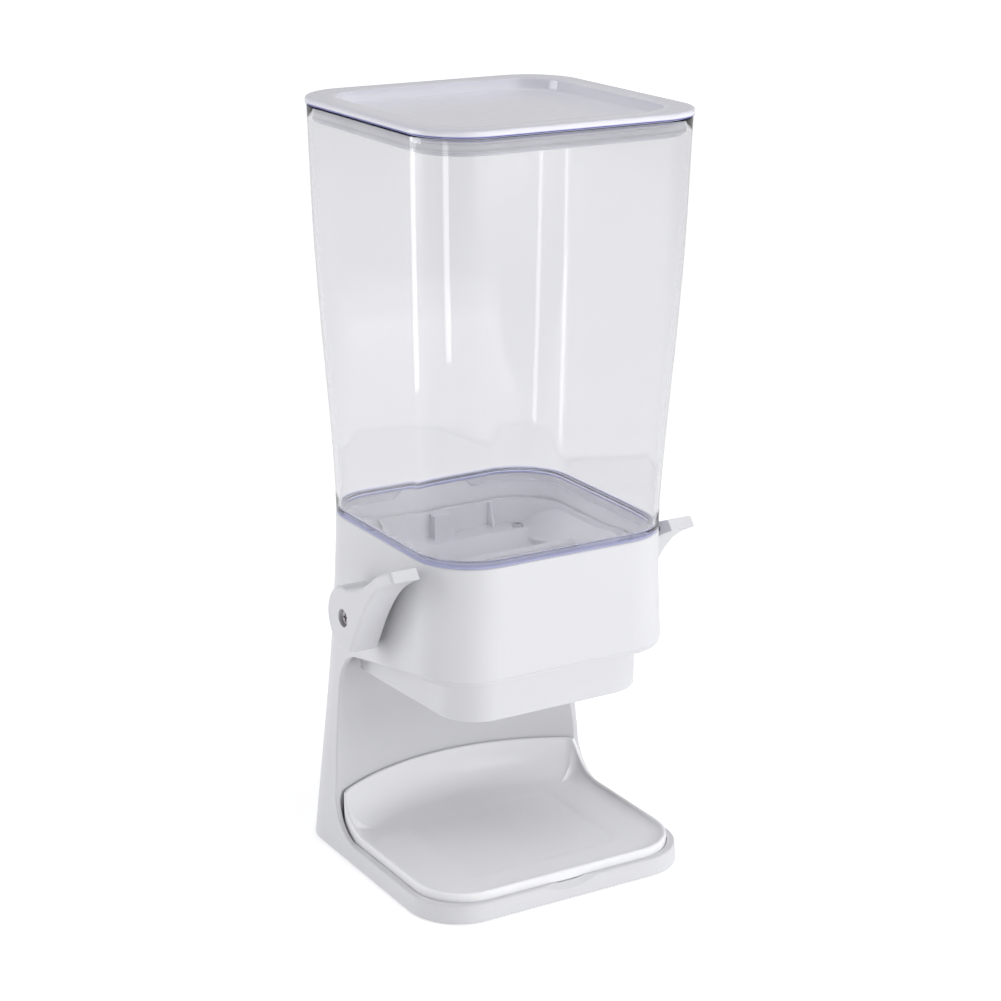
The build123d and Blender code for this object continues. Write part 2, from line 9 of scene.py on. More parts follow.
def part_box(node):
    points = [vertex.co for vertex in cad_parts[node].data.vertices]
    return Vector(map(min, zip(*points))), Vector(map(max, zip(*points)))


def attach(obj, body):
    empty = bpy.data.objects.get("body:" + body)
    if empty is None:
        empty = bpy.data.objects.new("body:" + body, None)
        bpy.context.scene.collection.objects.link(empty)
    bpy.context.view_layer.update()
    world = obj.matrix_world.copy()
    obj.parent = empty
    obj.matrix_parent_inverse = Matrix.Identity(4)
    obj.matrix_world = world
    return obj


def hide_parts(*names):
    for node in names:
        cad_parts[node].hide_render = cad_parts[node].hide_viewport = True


# Looks of the countertop cereal dispenser: the moulded clear, frosted and white pieces, their
# materials, and a pale studio. Outlines are worked in millimetres and written to meshes in metres.
MM = 0.001

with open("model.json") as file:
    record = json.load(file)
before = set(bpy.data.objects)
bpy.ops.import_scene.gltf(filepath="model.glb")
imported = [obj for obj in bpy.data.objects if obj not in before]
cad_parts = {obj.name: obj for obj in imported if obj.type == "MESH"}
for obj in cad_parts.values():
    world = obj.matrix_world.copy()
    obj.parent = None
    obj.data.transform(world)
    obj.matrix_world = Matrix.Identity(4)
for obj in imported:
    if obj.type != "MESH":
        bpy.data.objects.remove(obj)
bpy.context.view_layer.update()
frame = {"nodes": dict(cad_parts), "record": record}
nodes = frame["nodes"]


def box_mm(node):
    """A CAD node's lowest and highest corners, in millimetres."""
    low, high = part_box(node)
    return low / MM, high / MM


# ---- mesh helpers -----------------------------------------------------------------------------
LEAST_CORNER = 0.5           # a corner drawn in keeps at least this radius


def round_corner(previous, corner, following, radius, steps):
    """The points that turn a corner of a profile into an arc."""
    back = (Vector(previous) - Vector(corner)).normalized()
    on = (Vector(following) - Vector(corner)).normalized()
    half_angle = acos(max(-1.0, min(1.0, back.dot(on)))) / 2
    reach = radius / tan(half_angle)
    centre = Vector(corner) + (back + on).normalized() * (radius / sin(half_angle))
    first = Vector(corner) + back * reach - centre
    last = Vector(corner) + on * reach - centre
    swing = acos(max(-1.0, min(1.0, first.dot(last) / radius ** 2)))
    points = []
    for k in range(steps + 1):
        share = k / steps
        mixed = (first * sin((1 - share) * swing) + last * sin(share * swing)) / sin(swing)
        points.append(tuple(centre + mixed))
    return points


def profile(corners, closed=True, steps=4):
    """A section line through (inset, height, radius) corners, with the corners rounded."""
    points, count = [], len(corners)
    for i, (u, v, radius) in enumerate(corners):
        if radius == 0 or (not closed and i in (0, count - 1)):
            points.append((u, v))
            continue
        before, after = corners[i - 1][:2], corners[(i + 1) % count][:2]
        points += round_corner(before, (u, v), after, radius, steps)
    return points


def run(start, end, pieces):
    """Points that divide a straight run, without its end."""
    (x0, y0), (x1, y1) = start, end
    return [(x0 + (x1 - x0) * k / pieces, y0 + (y1 - y0) * k / pieces) for k in range(pieces)]


def arc(centre, radius, start, turn, pieces):
    """Points that divide an arc in plan, without its end. Its angles are in radians."""
    angles = [start + turn * k / pieces for k in range(pieces)]
    return [(centre[0] + radius * cos(a), centre[1] + radius * sin(a)) for a in angles]


def divided(points, longest, closed=True):
    """The same line with its long runs divided."""
    result = []
    ends = points[1:] + points[:1] if closed else points[1:]
    for start, end in zip(points, ends):
        length = hypot(end[0] - start[0], end[1] - start[1])
        result += run(start, end, max(1, int(length / longest + 0.5)))
    return result if closed else result + [points[-1]]


def plan_ring(half, front, back, radius, corner_steps=14, side_steps=10):
    """Points round a rounded rectangle in plan, anticlockwise from above."""
    turns = (
        (half - radius, front + radius, -90),
        (half - radius, back - radius, 0),
        (-half + radius, back - radius, 90),
        (-half + radius, front + radius, 180),
    )
    arcs = []
    for x, y, start in turns:
        angles = [radians(start + 90 * k / corner_steps) for k in range(corner_steps + 1)]
        arcs.append([(x + radius * cos(a), y + radius * sin(a)) for a in angles])
    ring = []
    for i, corner in enumerate(arcs):
        following = arcs[(i + 1) % len(arcs)]
        ring += corner + run(corner[-1], following[0], side_steps)[1:]
    return ring


def mirrored(right, middle):
    """A ring from the points of its right half and the point that closes it at the back."""
    return right + [middle] + [(-x, y) for x, y in reversed(right[1:])]


def lift(ring, z):
    """A plan ring at a height."""
    return [(x, y, z) for x, y in ring]


def square_ring(half, radius, z, inset):
    """A ring on a rounded square, drawn in by inset."""
    side = half - inset
    return lift(plan_ring(side, -side, side, max(radius - inset, LEAST_CORNER)), z)


def make_mesh(name, vertices, faces, smooth_under=38):
    """A new object from vertices in millimetres, shaded smooth except at sharp edges."""
    mesh = bpy.data.meshes.new(name)
    mesh.from_pydata([Vector(v) * MM for v in vertices], [], faces)
    mesh.validate()
    mesh.shade_smooth()
    mesh.set_sharp_from_angle(angle=radians(smooth_under))
    made = bpy.data.objects.new(name, mesh)
    bpy.context.scene.collection.objects.link(made)
    return made


def loft(name, rings, closed=False):
    """Quads between rings of equal length.

    A closed loft joins the last ring to the first, and an open one is capped at both ends.
    """
    count = len(rings[0])
    vertices = [point for ring in rings for point in ring]
    faces = []
    for i in range(len(rings) if closed else len(rings) - 1):
        below, above = i * count, (i + 1) % len(rings) * count
        for j in range(count):
            k = (j + 1) % count
            faces.append((below + j, below + k, above + k, above + j))
    if not closed:
        faces.append(tuple(reversed(range(count))))
        faces.append(tuple(range((len(rings) - 1) * count, len(rings) * count)))
    return make_mesh(name, vertices, faces)


def smooth_values(table, z):
    """The values that a (height, value, ...) table has at a height, along a smooth curve."""
    heights = [row[0] for row in table]
    z = max(heights[0], min(heights[-1], z))
    i = max(k for k, h in enumerate(heights[:-1]) if h <= z)

    def slope(k, column):
        a, b = max(k - 1, 0), min(k + 1, len(table) - 1)
        return (table[b][column] - table[a][column]) / (heights[b] - heights[a])

    span = heights[i + 1] - heights[i]
    t = (z - heights[i]) / span
    result = []
    for column in range(1, len(table[0])):
        a, b = table[i][column], table[i + 1][column]
        slope_a, slope_b = span * slope(i, column), span * slope(i + 1, column)
        from_a = (2 * t ** 3 - 3 * t ** 2 + 1) * a + (t ** 3 - 2 * t ** 2 + t) * slope_a
        from_b = (-2 * t ** 3 + 3 * t ** 2) * b + (t ** 3 - t ** 2) * slope_b
        result.append(from_a + from_b)
    return result


# ---- materials --------------------------------------------------------------------------------
FOOT_THICK = 2.2             # thickness of the flange on which the container stands
FOOT_Z = box_mm("container_seal")[1].z * MM      # top of the seat ring, just under the flange
FLANGE_Z = box_mm("lid_plug")[1].z * MM          # underside of the lid's rim
LID_EDGE = 0.75              # the lid's tint reaches this far up the rim's edge
LID_EDGE_OUTSIDE = 0.078     # and keeps this far out from the axis, in metres

NOISE_LOW, NOISE_HIGH = 0.3, 0.7         # most of a noise pattern lies between these values
COLOUR_DETAIL, ROUGHNESS_DETAIL = 2.0, 4.0
# The mix node has a set of sockets for each kind of data. These are the ones for colours.
MIX_SHARE, MIX_FIRST, MIX_SECOND, MIX_RESULT = 0, 6, 7, 2


class Nodes:
    """A node tree, with short ways to add and join its nodes."""

    def __init__(self, tree):
        self.tree = tree

    def add(self, kind, **values):
        node = self.tree.nodes.new(kind)
        for key, value in values.items():
            setattr(node, key, value)
        return node

    def link(self, source, target):
        self.tree.links.new(source, target)

    def maths(self, operation, first, second):
        """The result of an operation on two outputs."""
        node = self.add("ShaderNodeMath", operation=operation)
        self.link(first, node.inputs[0])
        self.link(second, node.inputs[1])
        return node.outputs["Value"]

    def ranged(self, source, low, high, start=NOISE_LOW, end=NOISE_HIGH, **values):
        """An output mapped so that start becomes low and end becomes high."""
        node = self.add("ShaderNodeMapRange", **values)
        for socket, value in (
            ("From Min", start), ("From Max", end), ("To Min", low), ("To Max", high),
        ):
            node.inputs[socket].default_value = value
        self.link(source, node.inputs["Value"])
        return node.outputs["Result"]

    def mix_shaders(self, share, first, second):
        """The first shader where share is 0 and the second where it is 1."""
        mix = self.add("ShaderNodeMixShader")
        self.link(share, mix.inputs["Fac"])
        self.link(first, mix.inputs[1])
        self.link(second, mix.inputs[2])
        return mix.outputs["Shader"]


class Material(Nodes):
    """A node material round one Principled shader, with helpers for moulded-plastic detail.

    The scale of a pattern is its number of patches per metre.
    """

    def __init__(self, name, colour, roughness, **sockets):
        self.material = bpy.data.materials.new(name)
        self.material.use_nodes = True
        super().__init__(self.material.node_tree)
        self.shader = self.tree.nodes["Principled BSDF"]
        self.output = self.tree.nodes["Material Output"]
        self.shader.inputs["Base Color"].default_value = (*colour, 1)
        self.shader.inputs["Roughness"].default_value = roughness
        for socket, value in sockets.items():
            self.shader.inputs[socket.replace("_", " ")].default_value = value
        self.colour, self.roughness = colour, roughness
        self.place = self.add("ShaderNodeTexCoord").outputs["Object"]

    def noise(self, scale, detail, stretch):
        """A noise pattern in the object's own metres."""
        mapping = self.add("ShaderNodeMapping")
        mapping.inputs["Scale"].default_value = stretch
        self.link(self.place, mapping.inputs["Vector"])
        pattern = self.add("ShaderNodeTexNoise")
        pattern.inputs["Scale"].default_value = scale
        pattern.inputs["Detail"].default_value = detail
        self.link(mapping.outputs["Vector"], pattern.inputs["Vector"])
        return pattern.outputs["Fac"]

    def vary_colour(self, scale, other, stretch=(1, 1, 1)):
        """Drifts softly between the base colour and another one."""
        mix = self.add("ShaderNodeMix", data_type="RGBA")
        mix.inputs[MIX_FIRST].default_value = (*self.colour, 1)
        mix.inputs[MIX_SECOND].default_value = (*other, 1)
        share = self.ranged(self.noise(scale, COLOUR_DETAIL, stretch), 0, 1)
        self.link(share, mix.inputs[MIX_SHARE])
        self.link(mix.outputs[MIX_RESULT], self.shader.inputs["Base Color"])

    def tint_band(self, low, high, colour, outside=0.0, soft=0.0003):
        """Another base colour between two heights, in metres, as at a thick moulded edge.

        It keeps outside a rounded square, x^4 + y^4 = outside^4, and fades over soft either way.
        """
        base = self.shader.inputs["Base Color"]
        mix = self.add("ShaderNodeMix", data_type="RGBA")
        if base.links:
            self.link(base.links[0].from_socket, mix.inputs[MIX_FIRST])
        else:
            mix.inputs[MIX_FIRST].default_value = base.default_value
        mix.inputs[MIX_SECOND].default_value = (*colour, 1)
        split = self.add("ShaderNodeSeparateXYZ")
        self.link(self.place, split.inputs[0])
        axes = split.outputs
        above = self.ranged(axes["Z"], 0, 1, low - soft, low + soft)
        below = self.ranged(axes["Z"], 1, 0, high - soft, high + soft)
        squares = [self.maths("MULTIPLY", axes[axis], axes[axis]) for axis in "XY"]
        total = self.maths("ADD", *(self.maths("MULTIPLY", square, square) for square in squares))
        beyond = self.add("ShaderNodeMath", operation="GREATER_THAN")
        self.link(total, beyond.inputs[0])
        beyond.inputs[1].default_value = outside ** 4
        band = self.maths("MULTIPLY", above, below)
        self.link(self.maths("MULTIPLY", band, beyond.outputs["Value"]), mix.inputs[MIX_SHARE])
        self.link(mix.outputs[MIX_RESULT], base)

    def vary_roughness(self, scale, spread, stretch=(1, 1, 1)):
        """Roughness that drifts by up to spread either way."""
        low, high = self.roughness - spread, self.roughness + spread
        rough = self.ranged(self.noise(scale, ROUGHNESS_DETAIL, stretch), low, high)
        self.link(rough, self.shader.inputs["Roughness"])

    def grain(self, scale, depth_mm, edge_mm=0.0, detail=2.0, stretch=(1, 1, 1)):
        """Fine surface relief, and edges that catch the light over edge_mm."""
        bump = self.add("ShaderNodeBump")
        bump.inputs["Strength"].default_value = 1.0
        bump.inputs["Distance"].default_value = depth_mm * MM
        self.link(self.noise(scale, detail, stretch), bump.inputs["Height"])
        if edge_mm:
            bevel = self.add("ShaderNodeBevel", samples=6)
            bevel.inputs["Radius"].default_value = edge_mm * MM
            self.link(bevel.outputs["Normal"], bump.inputs["Normal"])
        self.link(bump.outputs["Normal"], self.shader.inputs["Normal"])

    def let_lamps_through(self, colour):
        """Lamps light what is behind the clear wall."""
        through = self.add("ShaderNodeBsdfTransparent")
        through.inputs["Color"].default_value = (*colour, 1)
        shadow = self.add("ShaderNodeLightPath").outputs["Is Shadow Ray"]
        surface = self.mix_shaders(shadow, self.shader.outputs["BSDF"], through.outputs["BSDF"])
        self.link(surface, self.output.inputs["Surface"])

    def absorb(self, colour, density):
        """A tint that deepens with the length of the way through the plastic."""
        volume = self.add("ShaderNodeVolumeAbsorption")
        volume.inputs["Color"].default_value = (*colour, 1)
        volume.inputs["Density"].default_value = density
        self.link(volume.outputs["Volume"], self.output.inputs["Volume"])


def white_plastic():
    """Satin white of the stand, the spout, the levers and the inner mouldings."""
    m = Material("white_plastic", (0.71, 0.71, 0.74), 0.34,
                 IOR=1.5, Coat_Weight=0.12, Coat_Roughness=0.12)
    m.vary_colour(9.0, (0.695, 0.697, 0.727))
    m.vary_roughness(130.0, 0.05)
    m.grain(900.0, 0.002, edge_mm=0.5)
    return m.material


def tray_plastic():
    """Glossier white of the tray, drawn brighter than the stand's white as painted light that makes
    up for the shade under the housing.
    """
    # Base colour set above the stand's white: painted light that lifts the tray's floor and back wall
    # out of the housing's shade.
    m = Material("tray_plastic", (0.92, 0.92, 0.935), 0.30,
                 IOR=1.5, Coat_Weight=0.06, Coat_Roughness=0.2)
    m.vary_colour(11.0, (0.905, 0.906, 0.925))
    m.vary_roughness(130.0, 0.015)
    m.grain(900.0, 0.0015)
    return m.material


def clear_plastic():
    """The clear container, faintly wavy, with a blue tint in its thick foot."""
    m = Material("clear_plastic", (0.950, 0.950, 0.953), 0.015, IOR=1.49, Transmission_Weight=1.0)
    m.tint_band(FOOT_Z, FOOT_Z + FOOT_THICK * MM, (0.60, 0.62, 0.84))
    m.grain(14.0, 0.05, detail=1.0, stretch=(1, 1, 0.35))
    m.absorb((0.62, 0.62, 0.94), 14.0)
    m.let_lamps_through((0.98, 0.98, 0.985))
    return m.material


def frosted_plastic():
    """The lid: milky lilac, with a blue line at its edge."""
    m = Material("frosted_plastic", (0.88, 0.875, 0.92), 0.14, IOR=1.5, Transmission_Weight=0.18)
    m.vary_colour(14.0, (0.86, 0.856, 0.905))
    m.tint_band(FLANGE_Z - MM, FLANGE_Z + LID_EDGE * MM, (0.10, 0.11, 0.42),
                outside=LID_EDGE_OUTSIDE)
    m.vary_roughness(220.0, 0.03)
    m.grain(70.0, 0.004)
    m.let_lamps_through((0.85, 0.85, 0.88))
    return m.material


def plug_plastic():
    """Greyer and more see-through than the lid."""
    m = Material("plug_plastic", (0.66, 0.665, 0.70), 0.35, IOR=1.5, Transmission_Weight=0.35)
    m.vary_colour(20.0, (0.62, 0.625, 0.665))
    m.vary_roughness(260.0, 0.05)
    m.grain(800.0, 0.008)
    m.let_lamps_through((0.90, 0.90, 0.92))
    return m.material


def silicone(name, colour, other):
    """A soft matt ring or foot."""
    m = Material(name, colour, 0.5, IOR=1.43, Specular_IOR_Level=0.4)
    m.vary_colour(45.0, other)
    m.vary_roughness(500.0, 0.07)
    m.grain(1500.0, 0.02)
    return m.material


def acetal():
    """Slightly warm, smooth bearing plastic."""
    m = Material("acetal", (0.82, 0.82, 0.80), 0.4)
    m.vary_colour(60.0, (0.79, 0.79, 0.77))
    m.vary_roughness(300.0, 0.06)
    m.grain(1200.0, 0.01, edge_mm=0.3)
    return m.material


def steel(name, colour, other, roughness):
    """Drawn or turned steel, streaked along X."""
    m = Material(name, colour, roughness, Metallic=1.0)
    m.vary_colour(160.0, other, stretch=(8, 1, 1))
    m.vary_roughness(420.0, 0.08, stretch=(12, 1, 1))
    m.grain(1800.0, 0.01, edge_mm=0.2)
    return m.material


PAINT = {
    "white_plastic": white_plastic(),
    "tray_plastic": tray_plastic(),
    "clear_plastic": clear_plastic(),
    "frosted_plastic": frosted_plastic(),
    "plug_plastic": plug_plastic(),
    "gasket": silicone("gasket", (0.55, 0.55, 0.57), (0.50, 0.50, 0.52)),
    "container_edge": silicone("container_edge", (0.48, 0.49, 0.68), (0.44, 0.45, 0.64)),
    "silicone_grey": silicone("silicone_grey", (0.52, 0.52, 0.54), (0.47, 0.47, 0.49)),
    "acetal": acetal(),
    "steel": steel("steel", (0.62, 0.62, 0.63), (0.52, 0.52, 0.54), 0.32),
    "dark_screw": steel("dark_screw", (0.46, 0.42, 0.46), (0.38, 0.35, 0.39), 0.6),
}

# Every CAD node takes the material of its slot in the record.
for part in frame["record"]["subparts"]:
    mesh = nodes[part["node"]].data
    mesh.materials.clear()
    mesh.materials.append(PAINT[part["material_slot"]])


def dress(piece, slot, body, *stands_for):
    """Gives a new piece its material and body, and hides the CAD nodes that it stands for."""
    piece.data.materials.append(PAINT[slot])
    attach(piece, body)
    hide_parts(*stands_for)


# ---- clear container --------------------------------------------------------------------------
SEAT_PLAY = 0.3              # the container's flange stands this far above the seat ring
CONTAINER_FOOT = (75.2, 75.9, 33.5)      # half width, half depth and corner radius at the flange
CONTAINER_LEVELS = (                     # a height, then the same sizes there
    (222.0, 75.6, 76.2, 33.4),
    (250.0, 76.9, 77.2, 33.2),
    (285.0, 78.9, 79.0, 33.0),
    (320.0, 80.8, 80.8, 32.7),
    (365.0, 82.7, 82.7, 32.3),
)
CONTAINER_TOP_CORNER = 32.0
CONTAINER_RUN = 7.0          # longest run between two rings of its wall
WALL = 2.2
SPIGOT_STEP = 3.6            # how far the spigot stands in from the wall's outer face
SPIGOT_WALL = 2.0
SPIGOT_GAP = 22.0            # half width of the gap in the spigot's back
GAP_TOP = 0.8                # the gap ends this far under the flange


def container_section(seat, top, bottom):
    """The wall with its flange and the spigot under it, as (inset, height) points."""
    bed, spigot_inside = seat + FOOT_THICK, SPIGOT_STEP + SPIGOT_WALL
    corners = profile([
        (0.0, seat, 0.7), (0.0, top, 0.8), (WALL, top, 0.8), (WALL, bed, 1.6),
        (spigot_inside, bed, 0.6), (spigot_inside, bottom, 0.4),
        (SPIGOT_STEP, bottom, 0.4), (SPIGOT_STEP, seat, 0.3),
    ])
    return divided(corners, CONTAINER_RUN)


def open_back(ring, gap_top):
    """The ring with its back lifted to the gap's top, where the spigot is cut away."""
    return [(x, y, max(z, gap_top) if y > 0 and abs(x) < SPIGOT_GAP else z) for x, y, z in ring]


def container_piece():
    low, high = box_mm("container")
    seat, top = box_mm("container_seal")[1].z + SEAT_PLAY, high.z
    levels = ((seat, *CONTAINER_FOOT), *CONTAINER_LEVELS, (top, high.x, high.x, CONTAINER_TOP_CORNER))
    rings = []
    for inset, z in container_section(seat, top, low.z):
        half, depth, radius = (size - inset for size in smooth_values(levels, z))
        ring = plan_ring(half, -depth, depth, radius, corner_steps=20, side_steps=16)
        rings.append(open_back(lift(ring, z), seat - GAP_TOP))
    return loft("container_clear", rings, closed=True)


dress(container_piece(), "clear_plastic", "container", "container")


# ---- seat ring under the container -------------------------------------------------------------
SEAT_CORNER, SEAT_WIDTH = 33.0, 2.4


def seat_ring_piece():
    low, high = box_mm("container_seal")
    section = profile([
        (0.0, low.z, 0.35), (0.0, high.z, 0.35), (SEAT_WIDTH, high.z, 0.2), (SEAT_WIDTH, low.z, 0.2),
    ], steps=3)
    rings = [square_ring(high.x, SEAT_CORNER, z, inset) for inset, z in section]
    return loft("container_seat_ring", rings, closed=True)


dress(seat_ring_piece(), "container_edge", "stand", "container_seal")


# ---- lid ---------------------------------------------------------------------------------------
LID_CORNER, LID_PAN_CORNER = 32.0, 22.0
LID_RIM = 15.0               # width of the lid's raised rim
LID_PAN_WALL = 3.0
LID_PAN_LEAN = 0.6           # how far the pan's outer wall leans in
LID_RECESS = (-0.3, 0.9)     # the recess's wall at the rim and at the panel, past the rim's width
LID_PANEL_THICK = 2.4
LID_PANEL_REACH = 20.0       # the panel's last ring lies this far in from the rim
LID_RUN = 6.0                # longest run between two rings of the lid
PLUG_CORNER, PLUG_THICK = 28.0, 1.8
PLUG_WALL = 2.2
PLUG_REACH = 9.0             # the plug's last ring lies this far in from its wall
PLUG_GAP = 0.05              # the plug lies this far under the lid
GASKET_CORNER = 29.5


def lid_piece():
    """A flat rim round a sunk pan."""
    low, high = box_mm("lid")
    flange = box_mm("lid_plug")[1].z
    panel = low.z + LID_PANEL_THICK
    pan, middle = LID_RIM - LID_PAN_WALL, LID_RIM + LID_PANEL_REACH
    recess_top, recess_foot = (LID_RIM + lean for lean in LID_RECESS)
    section = profile([
        (middle, low.z, 0.0), (pan + LID_PAN_LEAN, low.z, 1.2), (pan, flange, 0.4),
        (0.0, flange, 0.5), (0.0, high.z, 1.4), (recess_top, high.z, 0.9),
        (recess_foot, panel, 1.3), (middle, panel, 0.0),
    ], closed=False, steps=5)
    rings = []
    for inset, z in divided(section, LID_RUN, closed=False):
        radius = LID_CORNER - inset * (LID_CORNER - LID_PAN_CORNER) / LID_RIM
        half = high.x - inset
        rings.append(lift(plan_ring(half, -half, half, radius), z))
    return loft("lid_cap", rings)


def plug_piece():
    """A shallow tray-shaped plug that fills the container's mouth under the lid."""
    low, high = box_mm("lid_plug")
    bed, rim = box_mm("lid")[0].z - PLUG_GAP, high.z - PLUG_GAP
    ceiling = bed - PLUG_THICK
    section = profile([
        (PLUG_REACH, ceiling, 0.0), (PLUG_WALL, ceiling, 0.8), (PLUG_WALL - 0.2, low.z, 0.5),
        (0.0, low.z, 0.7), (0.0, rim, 0.3), (PLUG_WALL, rim, 0.3), (PLUG_WALL, bed, 0.4),
        (PLUG_REACH, bed, 0.0),
    ], closed=False, steps=3)
    rings = [square_ring(high.x, PLUG_CORNER, z, inset) for inset, z in section]
    return loft("lid_plug_body", rings)


def gasket_piece():
    """A band with two soft lips that press against the container."""
    low, high = box_mm("lid_gasket")
    section = profile([
        (1.5, low.z, 0.2), (0.2, low.z, 0.3), (0.0, low.z + 0.9, 0.3), (1.0, low.z + 1.7, 0.5),
        (1.0, high.z - 1.9, 0.5), (0.0, high.z - 1.1, 0.3), (0.2, high.z - 0.2, 0.3),
        (1.5, high.z, 0.2),
    ], steps=3)
    rings = [square_ring(high.x, GASKET_CORNER, z, inset) for inset, z in section]
    return loft("lid_sealing_ring", rings, closed=True)


dress(lid_piece(), "frosted_plastic", "lid", "lid")
dress(plug_piece(), "plug_plastic", "lid", "lid_plug")
dress(gasket_piece(), "gasket", "lid", "lid_gasket")


# ---- tray --------------------------------------------------------------------------------------
TRAY_CORNER, TRAY_REAR_CORNER = 30.0, 13.0
LEAST_TRAY_CORNER, LEAST_REAR_CORNER = 4.0, 2.5      # the same, drawn in as far as they go
TRAY_RIM, TRAY_FLOOR = 16.7, 12.8
TRAY_FOOT_INSET, TRAY_FOOT_EDGE = 3.0, 0.5           # the underside's inner ring, and its chamfer
COVE_START, COVE_R = 12.0, 26.0                      # where the rim starts to rise, and its radius
RISE_LEAD = 4.0              # the sides are divided more finely from this far before the rise
RIM_SOFT = 7.0               # height over which the rise eases into the back's level rim
PANEL_DEPTH, PANEL_R = 63.4, 145.9       # the tray's back, 0.6 mm clear of the column's hollow curve
CROWN, CROWN_STEPS = 1.2, 8              # half the rim's width, which is rounded over
COVE_WIDTH, COVE_WIDER = 8.0, 8.0        # from rim to floor at the front, and what the back adds
COVE_STEPS = 14
SUNK_HALF, SUNK_FRONT, SUNK_BACK = 54.0, -58.0, 26.0     # the sunk rectangle in the floor
SUNK_CORNER, SUNK_DEPTH = 12.0, 0.5
SUNK_EDGE, SUNK_EDGE_STEPS = 5.5, 6      # width of the soft step round it
SUNK_REACH = 8.0             # its last ring lies this far in from its edge
# Points on a front corner, on half the front and as many on a side's level part, on a side's
# rise, on a rear corner, and on half the back.
TRAY_STEPS = (12, 14, 14, 10, 24)


@lru_cache(maxsize=None)
def tray_ring(inset, half, front):
    """The tray's outline in plan, drawn in by inset, anticlockwise from the middle of the front."""
    corner_n, side_n, rise_n, rear_n, back_n = TRAY_STEPS
    side, front = half - inset, front + inset
    radius = max(TRAY_CORNER - inset, LEAST_TRAY_CORNER)
    rear_radius = max(TRAY_REAR_CORNER - inset, LEAST_REAR_CORNER)
    curve, curve_y = PANEL_R - inset, PANEL_DEPTH - PANEL_R
    rear_x = side - rear_radius
    rear_y = curve_y + sqrt((curve - rear_radius) ** 2 - rear_x ** 2)
    aim = atan2(rear_y - curve_y, rear_x)
    rise_y = COVE_START - RISE_LEAD
    right = run((0.0, front), (side - radius, front), side_n)
    right += arc((side - radius, front + radius), radius, -pi / 2, pi / 2, corner_n)
    right += run((side, front + radius), (side, rise_y), side_n)
    right += run((side, rise_y), (side, rear_y), rise_n)
    right += arc((rear_x, rear_y), rear_radius, 0.0, aim, rear_n)
    right += arc((0.0, curve_y), curve, aim, pi / 2 - aim, back_n)
    return mirrored(right, (0.0, curve_y + curve))


def tray_rim(y, top):
    """Height of the tray's rim: level at the front, swept up at the back, with a soft shoulder."""
    reach = min(max(y - COVE_START, 0.0), COVE_R - 0.01)
    swept = TRAY_RIM + COVE_R - sqrt(COVE_R ** 2 - reach ** 2)
    nearness = max(RIM_SOFT - abs(swept - top), 0.0) / RIM_SOFT
    return min(swept, top) - nearness ** 2 * RIM_SOFT / 4


def tray_outside(half, front, bottom, rims):
    """Rings from the underside up the outer wall and over the rim's crown."""
    outer = tray_ring(0.0, half, front)
    foot = bottom + TRAY_FOOT_EDGE
    rings = [
        lift(tray_ring(TRAY_FOOT_INSET, half, front), bottom),
        lift(tray_ring(TRAY_FOOT_EDGE, half, front), bottom),
        lift(outer, foot),
    ]
    for share in (0.25, 0.5, 0.75):
        rings.append([(x, y, foot + (z - CROWN - foot) * share) for (x, y), z in zip(outer, rims)])
    for k in range(CROWN_STEPS + 1):
        a = pi * k / CROWN_STEPS
        ring = tray_ring(CROWN - CROWN * cos(a), half, front)
        rings.append([(x, y, z - CROWN + CROWN * sin(a)) for (x, y), z in zip(ring, rims)])
    return rings


def tray_cove(half, front, top, rims):
    """Rings from the rim's inner edge down a quarter of an ellipse, wider where the rim is high."""
    rings = []
    for k in range(1, COVE_STEPS + 1):
        a = pi / 2 * k / COVE_STEPS
        ring = []
        for i, z in enumerate(rims):
            lifted = (z - TRAY_RIM) / (top - TRAY_RIM)
            inset = 2 * CROWN + (COVE_WIDTH + COVE_WIDER * lifted) * (1 - cos(a))
            x, y = tray_ring(round(inset, 3), half, front)[i]
            ring.append((x, y, z - CROWN - (z - CROWN - TRAY_FLOOR) * sin(a)))
        rings.append(ring)
    return rings


def sunk_ring(inset, z):
    """The sunk rectangle drawn in by inset, with its points matched to the tray's outline."""
    corner_n, side_n, rise_n, rear_n, back_n = TRAY_STEPS
    side, front, back = SUNK_HALF - inset, SUNK_FRONT + inset, SUNK_BACK - inset
    radius = SUNK_CORNER - inset
    right = run((0.0, front), (side - radius, front), side_n)
    right += arc((side - radius, front + radius), radius, -pi / 2, pi / 2, corner_n)
    right += run((side, front + radius), (side, back - radius), side_n + rise_n)
    right += arc((side - radius, back - radius), radius, 0.0, pi / 2, rear_n)
    right += run((side - radius, back), (0.0, back), back_n)
    return lift(mirrored(right, (0.0, back)), z)


def tray_bed(cove_end):
    """Rings from the cove's end across the floor and down the soft step of the sunk rectangle."""
    sunk_edge = sunk_ring(0.0, TRAY_FLOOR)
    rings = []
    for share in (0.35, 0.7):
        rings.append([tuple(a + (b - a) * share for a, b in zip(p, q))
                      for p, q in zip(cove_end, sunk_edge)])
    rings.append(sunk_edge)
    for k in range(1, SUNK_EDGE_STEPS + 1):
        drop = SUNK_DEPTH * (1 - cos(pi * k / SUNK_EDGE_STEPS)) / 2
        rings.append(sunk_ring(SUNK_EDGE * k / SUNK_EDGE_STEPS, TRAY_FLOOR - drop))
    rings.append(sunk_ring(SUNK_REACH, TRAY_FLOOR - SUNK_DEPTH))
    return rings


def tray_piece():
    low, high = box_mm("tray")
    half, front, top = high.x, low.y, high.z
    rims = [tray_rim(y, top) for _, y in tray_ring(0.0, half, front)]
    rings = tray_outside(half, front, low.z, rims) + tray_cove(half, front, top, rims)
    return loft("tray_dish", rings + tray_bed(rings[-1]))


dress(tray_piece(), "tray_plastic", "tray", "tray")


